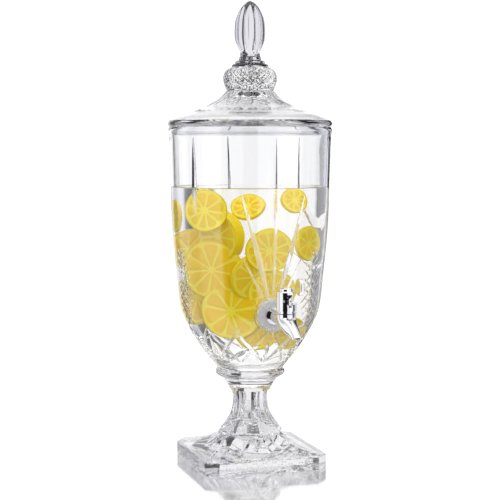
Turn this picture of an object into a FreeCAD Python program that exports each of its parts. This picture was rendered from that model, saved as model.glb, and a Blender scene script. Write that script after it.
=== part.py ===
import FreeCAD, Part
import math
import os

# Pedestal beverage dispenser in pressed glass, with a chrome push-down tap.
# Millimetres. The origin is the centre of the foot's underside, +Z is up, and the tap faces -Y.

# ---------------------------------------------------------------- driving dimensions

TOTAL_HEIGHT = 540.0

# foot and stem (one pressed piece)
FOOT_HALF_WIDTH = 73.5
FOOT_CORNER_CLIP = 13.8
FOOT_THICKNESS = 15.7
SKIRT_HALF_WIDTH = 65.0
COLLAR_RADIUS = 38.6
COLLAR_LOW_Z = 33.5
COLLAR_HIGH_Z = 38.5
STEM_TOP_Z = 86.6
PEDESTAL_TOP_Z = 112.6
SIDES = 8

# vessel
BOND_THICKNESS = 0.6
BOND_RADIUS = 37.8
VESSEL_BASE_Z = PEDESTAL_TOP_Z + BOND_THICKNESS
VESSEL_BASE_RADIUS = 39.0
VESSEL_FLOOR_Z = 120.6
RIM_Z = 394.4

# lid, knop and finial
LID_GAP = 0.4
LID_UNDERSIDE_Z = RIM_Z + LID_GAP
LID_SKIRT_RADIUS = 88.9
LID_SKIRT_WALL = 3.7
LID_SKIRT_LOW_Z = 386.0
LID_POCKET_Z = 432.5
LID_POCKET_RADIUS = 12.0
LID_NECK_RADIUS = 27.2
LID_NECK_Z = 436.8
KNOP_TOP_Z = 463.6
KNOP_RADIUS = 31.4
FINIAL_FLANGE_RADIUS = 21.2
FINIAL_WAIST_Z = 478.0
FINIAL_WAIST_RADIUS = 11.4
SCREW_RADIUS = 2.45
SCREW_HOLE_RADIUS = 2.9
SCREW_HEAD_RADIUS = 5.2
SCREW_HEAD_HEIGHT = 3.6
SCREW_WASHER_RADIUS = 8.0
SCREW_WASHER_THICKNESS = 1.2
SCREW_TIP_Z = 474.5

# tap: FORWARD distances are measured from the vessel's axis towards -Y, heights from the tap's axis
TAP_Z = 183.5
BOSS_OUTER_FACE = 82.0
BOSS_INNER_FACE = 73.5
BOSS_RADIUS = 20.5
BOSS_INNER_RADIUS = 17.5
THREAD_RADIUS = 7.9
THREAD_PITCH = 1.5
THREAD_DEPTH = 0.55
TAP_HOLE_RADIUS = 8.4
OUTER_WASHER_RADIUS = 18.5
OUTER_WASHER_THICKNESS = 4.2
INNER_WASHER_RADIUS = 15.0
INNER_WASHER_THICKNESS = 2.5
NUT_ACROSS_FLATS = 24.0
NUT_THICKNESS = 7.0
SHANK_END = 58.5
WATERWAY_RADIUS = 3.8
COLLAR_DISC_RADIUS = 9.6
COLLAR_DISC_THICKNESS = 2.6
HUB_RADIUS = 8.4
HUB_LENGTH = 1.8
NECK_RADIUS = 7.2
BARREL = 128.0
BARREL_RADIUS = 10.9
BODY_RADIUS = 10.4
CHAMBER_RADIUS = 6.3
SEAT_HEIGHT = -1.6
SEAT_BORE_RADIUS = 4.0
BODY_TOP = 7.4
SPOUT_TOP = 4.0
NOSE_RADIUS = 8.4
NOSE_CLEARANCE = 0.1
NOSE_BOTTOM = 2.6
BONNET_SEAL_THICKNESS = 0.8
BONNET_TOP = 32.6
BONNET_GROOVE = (8.8, 10.8)
BONNET_GROOVE_DEPTH = 1.4
SPRING_ROOM_RADIUS = 6.6
WEB_BOTTOM = 14.0
WEB_TOP = 18.0
O_RING_ROOM = (15.1, 16.9)
LEVER_ROOM_RADIUS = 7.2
CAP_TOP = 35.2
CAP_RADIUS = 8.0
CAP_PLUG_DEPTH = 1.6

# valve stem and spring
STEM_RADIUS = 2.5
STEM_CLEARANCE = 0.05
STEM_FLANGE_RADIUS = 5.0
STEM_FLANGE = (1.0, 2.5)
STEM_HEAD_RADIUS = 4.2
STEM_HEAD = (23.7, 26.3)
STUB_RADIUS = 1.5
STUB_INSET = 1.4
SEAL_RADIUS = 5.8
SEAL_BOTTOM = -1.5
SPRING_RADIUS = 4.4
SPRING_WIRE = 0.5
SPRING_TURNS = 5
O_RING_SECTION = 0.88
O_RING_CLEARANCE = 0.03

# lever
PIVOT_FORWARD = 8.5
PIVOT_HEIGHT = 22.0
PIN_RADIUS = 1.25
PIN_CLEARANCE = 0.07
PIN_HALF_LENGTH = 6.6
LEVER_HALF_WIDTH = 2.2
FORK_HALF_WIDTH = 4.2
FORK_SLOT_HALF_WIDTH = 2.9
FORK_TIP_RADIUS = 1.6
SLOT_HALF_WIDTH = 2.7
SLOT_LOW = 15.2
SLOT_HIGH = 29.0
LEVER_HUB_RADIUS = 3.2
FORK_ROOT = -4.2
FORK_SLOT_LENGTH = 3.2
PADDLE_FORWARD = 43.0
PADDLE_HEIGHT = 41.0
PADDLE_RADIUS = 9.3
PADDLE_HALF_THICKNESS = 2.3

# ---------------------------------------------------------------- helpers

V = FreeCAD.Vector
UP = V(0, 0, 1)
DOWN = V(0, 0, -1)
FORWARD = V(0, -1, 0)
ACROSS = V(1, 0, 0)
ORIGIN = V(0, 0, 0)


def section(*strokes):
    """Edges of a half section in the XZ plane: two points are a line, more are a smooth curve."""
    edges = []
    for stroke in strokes:
        points = [V(r, 0, z) for r, z in stroke]
        if len(points) == 2:
            edges.append(Part.LineSegment(*points).toShape())
        else:
            spline = Part.BSplineCurve()
            spline.interpolate(points)
            edges.append(spline.toShape())
    return Part.Wire(edges)


def turned(*strokes):
    """Solid of revolution about Z; the strokes run head to tail and start and end on the axis."""
    first = strokes[0][0]
    last = strokes[-1][-1]
    if first != last:
        strokes = strokes + ((last, first),)
    return Part.Face(section(*strokes)).revolve(ORIGIN, UP, 360)


def ring(outer, inner, low, high):
    """Plain washer or sleeve about Z."""
    return turned(((inner, low), (outer, low)), ((outer, low), (outer, high)),
                  ((outer, high), (inner, high)), ((inner, high), (inner, low)))


def disc(radius, low, high):
    return Part.makeCylinder(radius, high - low, V(0, 0, low), UP)


def polygon(radii, z, turn=0.0):
    """Closed wire with one corner per radius, evenly spaced round Z."""
    step = 2 * math.pi / len(radii)
    corners = [V(r * math.cos(i * step + turn), r * math.sin(i * step + turn), z)
               for i, r in enumerate(radii)]
    return Part.makePolygon(corners + corners[:1])


def tap_point(forward, height, across=0.0):
    """Point given from the vessel's axis and the tap's own axis."""
    return V(across, -forward, TAP_Z + height)


def along_tap(radius, near, far):
    """Cylinder on the shank's axis."""
    return Part.makeCylinder(radius, far - near, tap_point(near, 0), FORWARD)


def in_barrel(radius, low, high):
    """Cylinder on the barrel's upright axis."""
    return Part.makeCylinder(radius, high - low, tap_point(BARREL, low), UP)


def tube(outer, inner, low, high):
    return in_barrel(outer, low, high).cut(in_barrel(inner, low - 1, high + 1))


def tapered_duct(stations):
    """Smooth pipe through (forward, height, tilt in degrees, radius); tilt 0 points straight down."""
    wires = []
    for forward, height, tilt, radius in stations:
        circle = Part.makeCircle(radius, ORIGIN, DOWN)
        circle.rotate(ORIGIN, ACROSS, -tilt)
        circle.translate(tap_point(forward, height))
        wires.append(Part.Wire(circle))
    return Part.makeLoft(wires, True, False)


def rounded(shape, radius, chosen):
    """Fillet the edges that the test picks."""
    edges = [edge for edge in shape.Edges if chosen(edge)]
    return shape.makeFillet(radius, edges)


def level_edges(*heights):
    """Test for closed edges that lie level at one of the heights above the tap's axis."""
    def chosen(edge):
        box = edge.BoundBox
        flat = box.ZLength < 0.01
        return flat and any(abs(box.ZMin - TAP_Z - h) < 0.01 for h in heights)
    return chosen


# ---------------------------------------------------------------- glass

def pedestal():
    """Square foot with clipped corners, flared skirt, eight-sided stem and round cup."""
    inner = FOOT_HALF_WIDTH - FOOT_CORNER_CLIP
    outline = [(FOOT_HALF_WIDTH, inner), (inner, FOOT_HALF_WIDTH)]
    corners = []
    for quarter in range(4):
        angle = quarter * math.pi / 2
        for x, y in outline:
            corners.append(V(x * math.cos(angle) - y * math.sin(angle),
                             x * math.sin(angle) + y * math.cos(angle), 0))
    foot = Part.Face(Part.makePolygon(corners + corners[:1])).extrude(UP * FOOT_THICKNESS)

    # the skirt grows from a square on the foot to the regular octagon under the collar
    flare = [(FOOT_THICKNESS - 1, SKIRT_HALF_WIDTH, 1.0), (20.0, 55.0, 0.86), (26.0, 45.5, 0.45),
             (COLLAR_LOW_Z, 38.0, 0.0)]
    levels = []
    for z, middle, squareness in flare:
        corner = middle * (1 + (math.sqrt(2) - 1) * squareness)
        levels.append(polygon([middle, corner] * (SIDES // 2), z))
    skirt = Part.makeLoft(levels, True, True)

    collar = Part.Face(polygon([COLLAR_RADIUS] * SIDES, COLLAR_LOW_Z))
    collar = collar.extrude(UP * (COLLAR_HIGH_Z - COLLAR_LOW_Z))

    waist = [(COLLAR_HIGH_Z - 0.5, 37.0), (46.0, 31.4), (55.0, 25.4), (65.0, 21.9), (76.0, 20.6),
             (STEM_TOP_Z, 22.6)]
    stem = Part.makeLoft([polygon([r] * SIDES, z) for z, r in waist], True, False)

    cup = turned(((0, STEM_TOP_Z - 2), (21.0, STEM_TOP_Z - 2)),
                 ((21.0, STEM_TOP_Z - 2), (24.4, 88.5), (28.6, 95.5), (33.4, 101.0), (37.2, 103.4)),
                 ((37.2, 103.4), (40.2, 105.6), (40.9, 108.2), (39.8, 110.8), (38.4, PEDESTAL_TOP_Z)),
                 ((38.4, PEDESTAL_TOP_Z), (0, PEDESTAL_TOP_Z)))
    return foot.fuse([skirt, collar, stem, cup]).removeSplitter()


def bond_disc():
    """Clear set adhesive between the cup and the vessel's base."""
    return disc(BOND_RADIUS, PEDESTAL_TOP_Z, VESSEL_BASE_Z)


def vessel():
    """Open urn with a thickened, flat-faced boss where the tap passes through."""
    bowl_and_wall = ((VESSEL_BASE_RADIUS, VESSEL_BASE_Z), (47.3, 123.6), (58.5, 138.0), (71.4, 159.4),
                     (80.8, 181.0), (86.3, 223.4), (91.5, 280.0), (93.2, 335.0), (94.8, 385.0))
    lip = ((94.8, 385.0), (95.5, 387.6), (95.8, 391.0), (94.6, RIM_Z))
    inside = ((90.6, RIM_Z), (88.9, 380.0), (87.8, 335.0), (86.2, 280.0), (80.9, 223.4),
              (75.2, 183.0), (65.5, 160.0), (51.0, 140.6), (37.0, 130.4), (26.0, 124.8), (13.0, 121.4),
              (0, VESSEL_FLOOR_Z))
    shell = turned(((0, VESSEL_BASE_Z), (VESSEL_BASE_RADIUS, VESSEL_BASE_Z)),
                   bowl_and_wall, lip, ((94.6, RIM_Z), (90.6, RIM_Z)), inside)
    outer_boss = along_tap(BOSS_RADIUS, BOSS_INNER_FACE + 2, BOSS_OUTER_FACE)
    inner_boss = along_tap(BOSS_INNER_RADIUS, BOSS_INNER_FACE, BOSS_OUTER_FACE)
    shell = shell.fuse([outer_boss, inner_boss])
    outer_flat = along_tap(BOSS_RADIUS, BOSS_OUTER_FACE, BARREL)
    inner_flat = along_tap(BOSS_INNER_RADIUS, 0, BOSS_INNER_FACE)
    hole = along_tap(TAP_HOLE_RADIUS, 0, BARREL)
    return shell.cut([outer_flat, inner_flat, hole])


def lid():
    """Domed lid: a skirt drops inside the rim, and a drilled neck carries the knop."""
    skirt_inner = LID_SKIRT_RADIUS - LID_SKIRT_WALL
    crown = ((94.2, 402.0), (81.0, 407.4), (68.2, 412.0), (57.1, 416.8), (46.6, 421.4), (36.0, 427.6),
             (LID_NECK_RADIUS, LID_NECK_Z))
    edge = ((93.4, LID_UNDERSIDE_Z), (95.7, 397.0), (95.8, 399.6), (94.2, 402.0))
    underside = ((skirt_inner, 398.0), (78.0, 401.6), (64.0, 407.0), (50.0, 412.8), (38.0, 418.8),
                 (28.5, 425.6), (20.0, 430.6), (LID_POCKET_RADIUS, LID_POCKET_Z))
    solid = turned(((0, LID_NECK_Z), (0, LID_POCKET_Z)),
                   ((0, LID_POCKET_Z), (LID_POCKET_RADIUS, LID_POCKET_Z)),
                   underside[::-1],
                   ((skirt_inner, 398.0), (skirt_inner, LID_SKIRT_LOW_Z)),
                   ((skirt_inner, LID_SKIRT_LOW_Z), (LID_SKIRT_RADIUS, LID_SKIRT_LOW_Z)),
                   ((LID_SKIRT_RADIUS, LID_SKIRT_LOW_Z), (LID_SKIRT_RADIUS, LID_UNDERSIDE_Z)),
                   ((LID_SKIRT_RADIUS, LID_UNDERSIDE_Z), (93.4, LID_UNDERSIDE_Z)),
                   edge, crown)
    return solid.cut(disc(SCREW_HOLE_RADIUS, LID_POCKET_Z - 1, LID_NECK_Z + 1))


def knop():
    """Round bead between the lid and the finial."""
    bead = turned(((0, LID_NECK_Z), (LID_NECK_RADIUS, LID_NECK_Z)),
                  ((LID_NECK_RADIUS, LID_NECK_Z), (29.4, 442.1), (KNOP_RADIUS, 450.0), (30.0, 457.2),
                   (26.7, 461.0), (22.6, KNOP_TOP_Z)),
                  ((22.6, KNOP_TOP_Z), (0, KNOP_TOP_Z)))
    return bead.cut(disc(SCREW_HOLE_RADIUS, LID_NECK_Z - 1, KNOP_TOP_Z + 1))


def finial():
    """Stepped flange, narrow waist and eight-sided pointed drop."""
    flange = turned(((0, KNOP_TOP_Z), (FINIAL_FLANGE_RADIUS, KNOP_TOP_Z)),
                    ((FINIAL_FLANGE_RADIUS, KNOP_TOP_Z), (FINIAL_FLANGE_RADIUS, 466.6)),
                    ((FINIAL_FLANGE_RADIUS, 466.6), (17.4, 468.4)),
                    ((17.4, 468.4), (17.0, 470.4)),
                    ((17.0, 470.4), (13.2, 472.0)),
                    ((13.2, 472.0), (12.4, 474.6), (FINIAL_WAIST_RADIUS, FINIAL_WAIST_Z)),
                    ((FINIAL_WAIST_RADIUS, FINIAL_WAIST_Z), (0, FINIAL_WAIST_Z)))
    drop = [(FINIAL_WAIST_Z - 0.5, FINIAL_WAIST_RADIUS), (486.0, 14.2), (496.0, 17.3), (507.0, 17.8),
            (518.0, 16.4), (528.0, 12.6), (535.0, 7.6), (TOTAL_HEIGHT, 1.2)]
    body = Part.makeLoft([polygon([r] * SIDES, z) for z, r in drop], True, False)
    return flange.fuse(body).cut(disc(SCREW_RADIUS, KNOP_TOP_Z - 1, SCREW_TIP_Z + 0.5))


# ---------------------------------------------------------------- lid fastening

def finial_screw():
    """Pan-head screw up through the lid and the knop into the finial, with a cross recess."""
    head_top = LID_POCKET_Z - SCREW_WASHER_THICKNESS
    head_bottom = head_top - SCREW_HEAD_HEIGHT
    head = disc(SCREW_HEAD_RADIUS, head_bottom, head_top)
    lowest = [edge for edge in head.Edges
              if edge.BoundBox.ZMax < head_bottom + 0.01 and edge.BoundBox.XLength > 1]
    head = head.makeFillet(1.4, lowest)
    for length, width in ((5.6, 1.1), (1.1, 5.6)):
        slot = Part.makeBox(length, width, 2.0, V(-length / 2, -width / 2, head_bottom - 0.1))
        head = head.cut(slot)
    return head.fuse(disc(SCREW_RADIUS, head_top - 0.5, SCREW_TIP_Z))


def screw_washer():
    return ring(SCREW_WASHER_RADIUS, SCREW_HOLE_RADIUS, LID_POCKET_Z - SCREW_WASHER_THICKNESS,
                LID_POCKET_Z)


# ---------------------------------------------------------------- tap fixing

def outer_washer():
    """Soft domed washer that seals the tap against the outside of the glass."""
    washer = along_tap(OUTER_WASHER_RADIUS, BOSS_OUTER_FACE, BOSS_OUTER_FACE + OUTER_WASHER_THICKNESS)
    front = -(BOSS_OUTER_FACE + OUTER_WASHER_THICKNESS)
    washer = rounded(washer, 2.6, lambda edge: edge.BoundBox.YMax < front + 0.01)
    return washer.cut(along_tap(TAP_HOLE_RADIUS, 0, BARREL))


def inner_washer():
    near = BOSS_INNER_FACE - INNER_WASHER_THICKNESS
    washer = along_tap(INNER_WASHER_RADIUS, near, BOSS_INNER_FACE)
    return washer.cut(along_tap(TAP_HOLE_RADIUS, 0, BARREL))


def lock_nut():
    """Hexagon nut with chamfered corners on the shank, inside the vessel."""
    far = BOSS_INNER_FACE - INNER_WASHER_THICKNESS
    near = far - NUT_THICKNESS
    circumradius = NUT_ACROSS_FLATS / math.sqrt(3)
    corners = [tap_point(near, circumradius * math.sin(math.radians(60 * i)),
                         circumradius * math.cos(math.radians(60 * i))) for i in range(6)]
    hexagon = Part.Face(Part.makePolygon(corners + corners[:1])).extrude(FORWARD * NUT_THICKNESS)
    chamfer = Part.makeCone(NUT_ACROSS_FLATS / 2 - 0.4, NUT_ACROSS_FLATS / 2 + NUT_THICKNESS,
                            NUT_THICKNESS + 0.4, tap_point(near, 0), FORWARD)
    return hexagon.common(chamfer).cut(along_tap(THREAD_RADIUS + 0.08, near - 1, far + 1))


# ---------------------------------------------------------------- tap

# stations down the spout: forward, height, tilt from straight down in degrees, radius
SPOUT = [(BARREL, SPOUT_TOP, 0, BODY_RADIUS), (136.0, -4.6, 44, 9.2), (149.0, -9.6, 56, 7.0),
         (162.0, -15.4, 22, 5.4)]
OUTLET = [(BARREL, SEAT_HEIGHT + 0.5, 0), (131.6, -4.6, 48), (140.6, -8.0, 62), (151.0, -10.6, 54),
          (162.8, -17.4, 22)]


def tap_body():
    """Threaded shank, neck, lower barrel with the valve seat, and curved spout, in one casting."""
    collar_near = BOSS_OUTER_FACE + OUTER_WASHER_THICKNESS
    shank = along_tap(THREAD_RADIUS, SHANK_END, collar_near)
    hub_near = collar_near + COLLAR_DISC_THICKNESS
    neck_near = hub_near + HUB_LENGTH
    collar = along_tap(COLLAR_DISC_RADIUS, collar_near, hub_near)
    hub = along_tap(HUB_RADIUS, hub_near, neck_near)
    neck = along_tap(NECK_RADIUS, neck_near, BARREL)
    barrel = in_barrel(BODY_RADIUS, SPOUT_TOP, BODY_TOP)
    spout = tapered_duct(SPOUT)
    solid = shank.fuse([collar, hub, neck, barrel, spout]).removeSplitter()

    chamber = in_barrel(CHAMBER_RADIUS, SEAT_HEIGHT, BODY_TOP + 1)
    nose_room = in_barrel(NOSE_RADIUS + NOSE_CLEARANCE, NOSE_BOTTOM - NOSE_CLEARANCE, BODY_TOP + 1)
    inlet = along_tap(WATERWAY_RADIUS, SHANK_END - 1, BARREL - CHAMBER_RADIUS + 1)
    outlet = tapered_duct([station + (SEAT_BORE_RADIUS,) for station in OUTLET])
    solid = solid.cut([chamber, nose_room, inlet, outlet])

    # thread drawn as parallel rings
    turns = int((collar_near - SHANK_END) / THREAD_PITCH) - 1
    for turn in range(turns):
        near = SHANK_END + 0.8 + turn * THREAD_PITCH
        groove = along_tap(THREAD_RADIUS + 1, near, near + THREAD_PITCH / 2)
        groove = groove.cut(along_tap(THREAD_RADIUS - THREAD_DEPTH, near - 1, near + THREAD_PITCH))
        solid = solid.cut(groove)
    return solid


def bonnet_seal():
    """Flat ring clamped between the bonnet and the body."""
    return tube(BODY_RADIUS - 0.5, NOSE_RADIUS + NOSE_CLEARANCE, BODY_TOP,
                BODY_TOP + BONNET_SEAL_THICKNESS)


def tap_bonnet():
    """Upper barrel: screws into the body, guides the stem and carries the lever's pin."""
    skirt_low = BODY_TOP + BONNET_SEAL_THICKNESS
    outside = in_barrel(BARREL_RADIUS, skirt_low, BONNET_TOP)
    outside = rounded(outside, 2.2, level_edges(BONNET_TOP))
    groove = tube(BARREL_RADIUS + 1, BARREL_RADIUS - BONNET_GROOVE_DEPTH, *BONNET_GROOVE)
    nose = in_barrel(NOSE_RADIUS, NOSE_BOTTOM, skirt_low + 1)
    solid = outside.cut(groove).fuse(nose)
    spring_room = in_barrel(SPRING_ROOM_RADIUS, NOSE_BOTTOM - 1, WEB_BOTTOM)
    guide = in_barrel(STEM_RADIUS + STEM_CLEARANCE, WEB_BOTTOM - 1, WEB_TOP + 1)
    o_ring_room = in_barrel(STEM_RADIUS + STEM_CLEARANCE + 2 * (O_RING_SECTION + O_RING_CLEARANCE),
                            *O_RING_ROOM)
    lever_room = in_barrel(LEVER_ROOM_RADIUS, WEB_TOP, BONNET_TOP + 1)
    slot = Part.makeBox(2 * SLOT_HALF_WIDTH, BARREL_RADIUS + 1, SLOT_HIGH - SLOT_LOW,
                        tap_point(BARREL + BARREL_RADIUS + 1, SLOT_LOW, -SLOT_HALF_WIDTH))
    slot = slot.cut(in_barrel(LEVER_ROOM_RADIUS - 0.5, SLOT_LOW - 1, SLOT_HIGH + 1))
    pin_hole = Part.makeCylinder(PIN_RADIUS, 2 * PIN_HALF_LENGTH,
                                 tap_point(BARREL + PIVOT_FORWARD, PIVOT_HEIGHT, -PIN_HALF_LENGTH), ACROSS)
    return solid.cut([spring_room, guide, o_ring_room, lever_room, slot, pin_hole])


def tap_cap():
    """Thin disc on a plug that closes the top of the bonnet."""
    top = in_barrel(CAP_RADIUS, BONNET_TOP, CAP_TOP)
    top = rounded(top, 0.8, level_edges(CAP_TOP))
    return top.fuse(in_barrel(LEVER_ROOM_RADIUS - 0.1, BONNET_TOP - CAP_PLUG_DEPTH,
                               BONNET_TOP + 0.5))


def valve_stem():
    """Rod with a spring flange near the seal and a lifting head under which the fork sits."""
    rod = in_barrel(STEM_RADIUS, STEM_FLANGE[0], STEM_HEAD[1])
    flange = in_barrel(STEM_FLANGE_RADIUS, *STEM_FLANGE)
    head = in_barrel(STEM_HEAD_RADIUS, *STEM_HEAD)
    head = rounded(head, 0.8, level_edges(STEM_HEAD[1]))
    stub = in_barrel(STUB_RADIUS, SEAL_BOTTOM + STUB_INSET, STEM_FLANGE[0] + 0.5)
    return rod.fuse([flange, head, stub])


def valve_seal():
    """Rubber plug on the stem that closes the seat."""
    plug = in_barrel(SEAL_RADIUS, SEAL_BOTTOM, STEM_FLANGE[0])
    plug = rounded(plug, 0.7, level_edges(SEAL_BOTTOM))
    return plug.cut(in_barrel(STUB_RADIUS, SEAL_BOTTOM + STUB_INSET, STEM_FLANGE[0] + 1))


def stem_o_ring():
    centre_radius = STEM_RADIUS + STEM_CLEARANCE + O_RING_SECTION + O_RING_CLEARANCE
    return Part.makeTorus(centre_radius, O_RING_SECTION, tap_point(BARREL, sum(O_RING_ROOM) / 2), UP)


def return_spring():
    """Compression spring between the stem's flange and the bonnet's web."""
    low = STEM_FLANGE[1] + SPRING_WIRE
    high = WEB_BOTTOM - SPRING_WIRE
    helix = Part.makeHelix((high - low) / SPRING_TURNS, high - low, SPRING_RADIUS)
    helix.translate(tap_point(BARREL, low))
    start = helix.Edges[0].valueAt(helix.Edges[0].FirstParameter)
    wire_section = Part.Wire(Part.makeCircle(SPRING_WIRE, start, V(0, 1, 0)))
    return Part.Wire(helix.Edges).makePipeShell([wire_section], True, True)


# ---------------------------------------------------------------- lever

def in_plane(points):
    """Points of the lever's side view, measured from the pivot."""
    return [tap_point(BARREL + PIVOT_FORWARD + f, PIVOT_HEIGHT + h) for f, h in points]


def slab(half_width, edges):
    """Side-view outline given thickness across the tap."""
    face = Part.Face(Part.Wire(edges))
    face.translate(V(-half_width, 0, 0))
    return face.extrude(V(2 * half_width, 0, 0))


def smooth(points):
    spline = Part.BSplineCurve()
    spline.interpolate(in_plane(points))
    return spline.toShape()


def straight(start, end):
    return Part.LineSegment(*in_plane([start, end])).toShape()


def across_cylinder(radius, half_width, forward, height):
    """Cylinder across the tap, placed from the pivot."""
    base = tap_point(BARREL + PIVOT_FORWARD + forward, PIVOT_HEIGHT + height, -half_width)
    return Part.makeCylinder(radius, 2 * half_width, base, ACROSS)


def tap_lever():
    """Fork under the stem's head, hub on the pin, rising arm and round paddle set on edge."""
    paddle_forward = PADDLE_FORWARD - PIVOT_FORWARD
    paddle_height = PADDLE_HEIGHT - PIVOT_HEIGHT
    paddle = across_cylinder(PADDLE_RADIUS, PADDLE_HALF_THICKNESS, paddle_forward, paddle_height)
    paddle = rounded(paddle, 1.2, lambda edge: edge.BoundBox.XLength < 0.01)

    lower = smooth([(0.0, -LEVER_HUB_RADIUS), (6.0, -4.2), (15.0, -0.6), (24.0, 6.6), (30.0, 12.5)])
    upper = smooth([(27.0, 18.0), (18.0, 9.2), (10.0, 4.4), (5.0, 3.2), (0.0, LEVER_HUB_RADIUS)])
    arm = slab(LEVER_HALF_WIDTH, [lower, straight((30.0, 12.5), (27.0, 18.0)), upper,
                                  straight((0.0, LEVER_HUB_RADIUS), (0.0, -LEVER_HUB_RADIUS))])
    hub = across_cylinder(LEVER_HUB_RADIUS, LEVER_HALF_WIDTH, 0, 0)

    tip = -PIVOT_FORWARD
    slot_end = tip + FORK_SLOT_LENGTH
    wide = slab(FORK_HALF_WIDTH, [straight((tip, -FORK_TIP_RADIUS), (FORK_ROOT, -FORK_TIP_RADIUS)),
                                  straight((FORK_ROOT, -FORK_TIP_RADIUS), (FORK_ROOT, FORK_TIP_RADIUS)),
                                  straight((FORK_ROOT, FORK_TIP_RADIUS), (tip, FORK_TIP_RADIUS)),
                                  straight((tip, FORK_TIP_RADIUS), (tip, -FORK_TIP_RADIUS))])
    wide = wide.fuse(across_cylinder(FORK_TIP_RADIUS, FORK_HALF_WIDTH, tip, 0))
    tongue = slab(LEVER_HALF_WIDTH, [straight((FORK_ROOT - 1, -FORK_TIP_RADIUS), (0, -FORK_TIP_RADIUS)),
                                     straight((0, -FORK_TIP_RADIUS), (0, FORK_TIP_RADIUS)),
                                     straight((0, FORK_TIP_RADIUS), (FORK_ROOT - 1, FORK_TIP_RADIUS)),
                                     straight((FORK_ROOT - 1, FORK_TIP_RADIUS),
                                              (FORK_ROOT - 1, -FORK_TIP_RADIUS))])
    gap = Part.makeBox(2 * FORK_SLOT_HALF_WIDTH, 6.4, 8,
                       tap_point(BARREL + PIVOT_FORWARD + slot_end, PIVOT_HEIGHT - 4,
                                 -FORK_SLOT_HALF_WIDTH))
    fork = wide.fuse(tongue).cut(gap)
    solid = paddle.fuse([arm, hub, fork]).removeSplitter()
    return solid.cut(across_cylinder(PIN_RADIUS + PIN_CLEARANCE, LEVER_HALF_WIDTH + 3, 0, 0))


def lever_pin():
    return across_cylinder(PIN_RADIUS, PIN_HALF_LENGTH, 0, 0)


# ---------------------------------------------------------------- output

NODES = {
    "pedestal": pedestal,
    "bond_disc": bond_disc,
    "vessel": vessel,
    "lid": lid,
    "knop": knop,
    "finial": finial,
    "finial_screw": finial_screw,
    "screw_washer": screw_washer,
    "outer_washer": outer_washer,
    "inner_washer": inner_washer,
    "lock_nut": lock_nut,
    "tap_body": tap_body,
    "bonnet_seal": bonnet_seal,
    "tap_bonnet": tap_bonnet,
    "tap_cap": tap_cap,
    "valve_stem": valve_stem,
    "valve_seal": valve_seal,
    "stem_o_ring": stem_o_ring,
    "return_spring": return_spring,
    "tap_lever": tap_lever,
    "lever_pin": lever_pin,
}

os.makedirs("parts", exist_ok=True)
for node, make in NODES.items():
    shape = make()
    solids = shape.Solids
    print(node, "solids", len(solids), "valid", shape.isValid(), "volume %.1f" % shape.Volume)
    if len(solids) == 1:
        shape = solids[0]
    shape.exportStep("parts/" + node + ".step")
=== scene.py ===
import math
import random

import bpy
import numpy as np
from mathutils import Matrix, Vector


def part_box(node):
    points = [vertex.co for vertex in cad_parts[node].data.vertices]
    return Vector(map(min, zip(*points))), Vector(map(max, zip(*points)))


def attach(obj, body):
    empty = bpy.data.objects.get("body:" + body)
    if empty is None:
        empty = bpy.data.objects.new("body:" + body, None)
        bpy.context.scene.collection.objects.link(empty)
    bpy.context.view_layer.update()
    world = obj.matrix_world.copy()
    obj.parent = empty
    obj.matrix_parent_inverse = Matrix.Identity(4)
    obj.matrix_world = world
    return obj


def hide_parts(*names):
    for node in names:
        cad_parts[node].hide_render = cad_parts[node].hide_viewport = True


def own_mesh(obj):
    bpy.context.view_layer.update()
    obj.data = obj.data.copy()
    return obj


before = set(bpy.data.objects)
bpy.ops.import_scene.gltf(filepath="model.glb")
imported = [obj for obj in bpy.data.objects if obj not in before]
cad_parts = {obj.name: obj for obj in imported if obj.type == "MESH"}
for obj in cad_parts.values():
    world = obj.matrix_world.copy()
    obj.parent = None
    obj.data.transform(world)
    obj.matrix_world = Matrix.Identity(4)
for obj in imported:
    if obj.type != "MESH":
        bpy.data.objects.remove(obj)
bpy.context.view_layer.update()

# Pressed-glass pedestal beverage dispenser. Outlines are in millimetres, as in the CAD; meshes are in metres.

MM = 0.001
FOLD = 6                    # the wedges of the bowl repeat six times round the vessel
FANS = 3                    # and the fans three times
LATHE_STEPS = 192
TAP_Z = 183.5
WATER_Z = 325.0
FAN_Z = 186.0               # where each fan of cuts comes together
SIDES = 8                   # of the stem and the finial
SCREW_HOLE = 2.9            # radius through the lid and the bead

# the seat of the tap, as distances in front of the axis
SEAT_FACE = 82.0
SEAT_RADIUS = 20.5
INNER_FACE = 73.5
INNER_RADIUS = 17.5
TAP_HOLE = 8.4
CLEAR_OF_GLASS = 110        # well outside the wall

# where the cuts lie: degrees from the middle of a fan, and heights
SPEAR_TOP = 384
BETWEEN_FANS = 60
KITE_MIDDLE = 38
KITE_STEPS = 9
HATCHED = (20, 56)          # the angles that hold nothing but fine hatching
HATCHED_TOP = 266
BOWL_TOP = 172              # the wedges of the bowl end here
BOWL_FOOT = 123.5

# ---------------------------------------------------------------- outlines (radius, height)

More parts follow.
